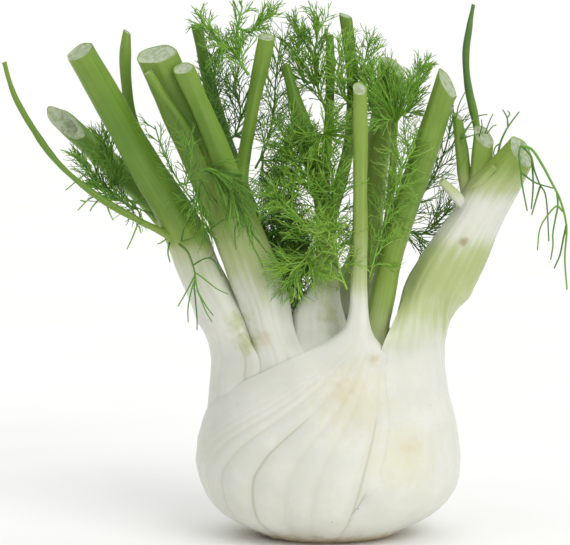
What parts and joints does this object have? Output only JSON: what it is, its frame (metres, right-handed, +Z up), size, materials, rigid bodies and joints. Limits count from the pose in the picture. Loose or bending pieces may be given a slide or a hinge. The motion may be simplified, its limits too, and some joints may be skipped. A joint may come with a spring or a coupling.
{
  "type": "fennel bulb",
  "caption": "Florence fennel bulb with trimmed stalks and feathery green fronds, standing on its cut root plate.",
  "frame": {"origin": "middle of the flat underside of the root plate", "axes": "+Z up along the bulb, +X to the right as seen from the front, +Y away from the viewer; the front is -Y"},
  "size_m": [0.2252, 0.0939, 0.2152],
  "materials": {
    "leaf_right": "white sheath turning green up the stalk",
    "leaf_front": "satin cream sheath with fine ribs, green petiole",
    "leaf_left": "white sheath turning green up the stalk",
    "leaf_back": "white sheath turning green up the stalk",
    "leaf_back_left": "pale green stalk",
    "leaf_front_left": "white sheath turning green up the stalk",
    "leaf_centre_right": "pale green stalk",
    "leaf_centre": "white base turning green up the stalk",
    "heart": "matte cream, tinted brown at the root plate",
    "frond_left_low": "satin green threads",
    "frond_left_front": "satin green threads",
    "frond_left_hanging": "satin green threads",
    "frond_over_trunk": "satin green threads",
    "frond_top_left": "satin green threads",
    "frond_behind_fork": "satin green threads",
    "frond_fork_right": "satin green threads",
    "frond_cleft": "satin green threads",
    "frond_centre": "satin green threads",
    "frond_top_centre": "satin green threads",
    "frond_tuft": "satin green threads",
    "frond_post": "satin green threads",
    "frond_behind_right": "satin green threads",
    "frond_stem_left": "satin green threads",
    "frond_stem_right": "satin green threads",
    "frond_right_threads": "satin green threads",
    "frond_right_twig": "satin green threads",
    "frond_right_droop": "satin green threads",
    "frond_back": "satin green threads"
  },
  "bodies": {
    "root": {"leaf_right": "leaf_right", "leaf_front": "leaf_front", "leaf_left": "leaf_left", "leaf_back": "leaf_back", "leaf_back_left": "leaf_back_left", "leaf_front_left": "leaf_front_left", "leaf_centre_right": "leaf_centre_right", "leaf_centre": "leaf_centre", "heart": "heart", "frond_left_low": "frond_left_low", "frond_left_front": "frond_left_front", "frond_left_hanging": "frond_left_hanging", "frond_over_trunk": "frond_over_trunk", "frond_top_left": "frond_top_left", "frond_behind_fork": "frond_behind_fork", "frond_fork_right": "frond_fork_right", "frond_cleft": "frond_cleft", "frond_centre": "frond_centre", "frond_top_centre": "frond_top_centre", "frond_tuft": "frond_tuft", "frond_post": "frond_post", "frond_behind_right": "frond_behind_right", "frond_stem_left": "frond_stem_left", "frond_stem_right": "frond_stem_right", "frond_right_threads": "frond_right_threads", "frond_right_twig": "frond_right_twig", "frond_right_droop": "frond_right_droop", "frond_back": "frond_back"}
  },
  "joints": []
}
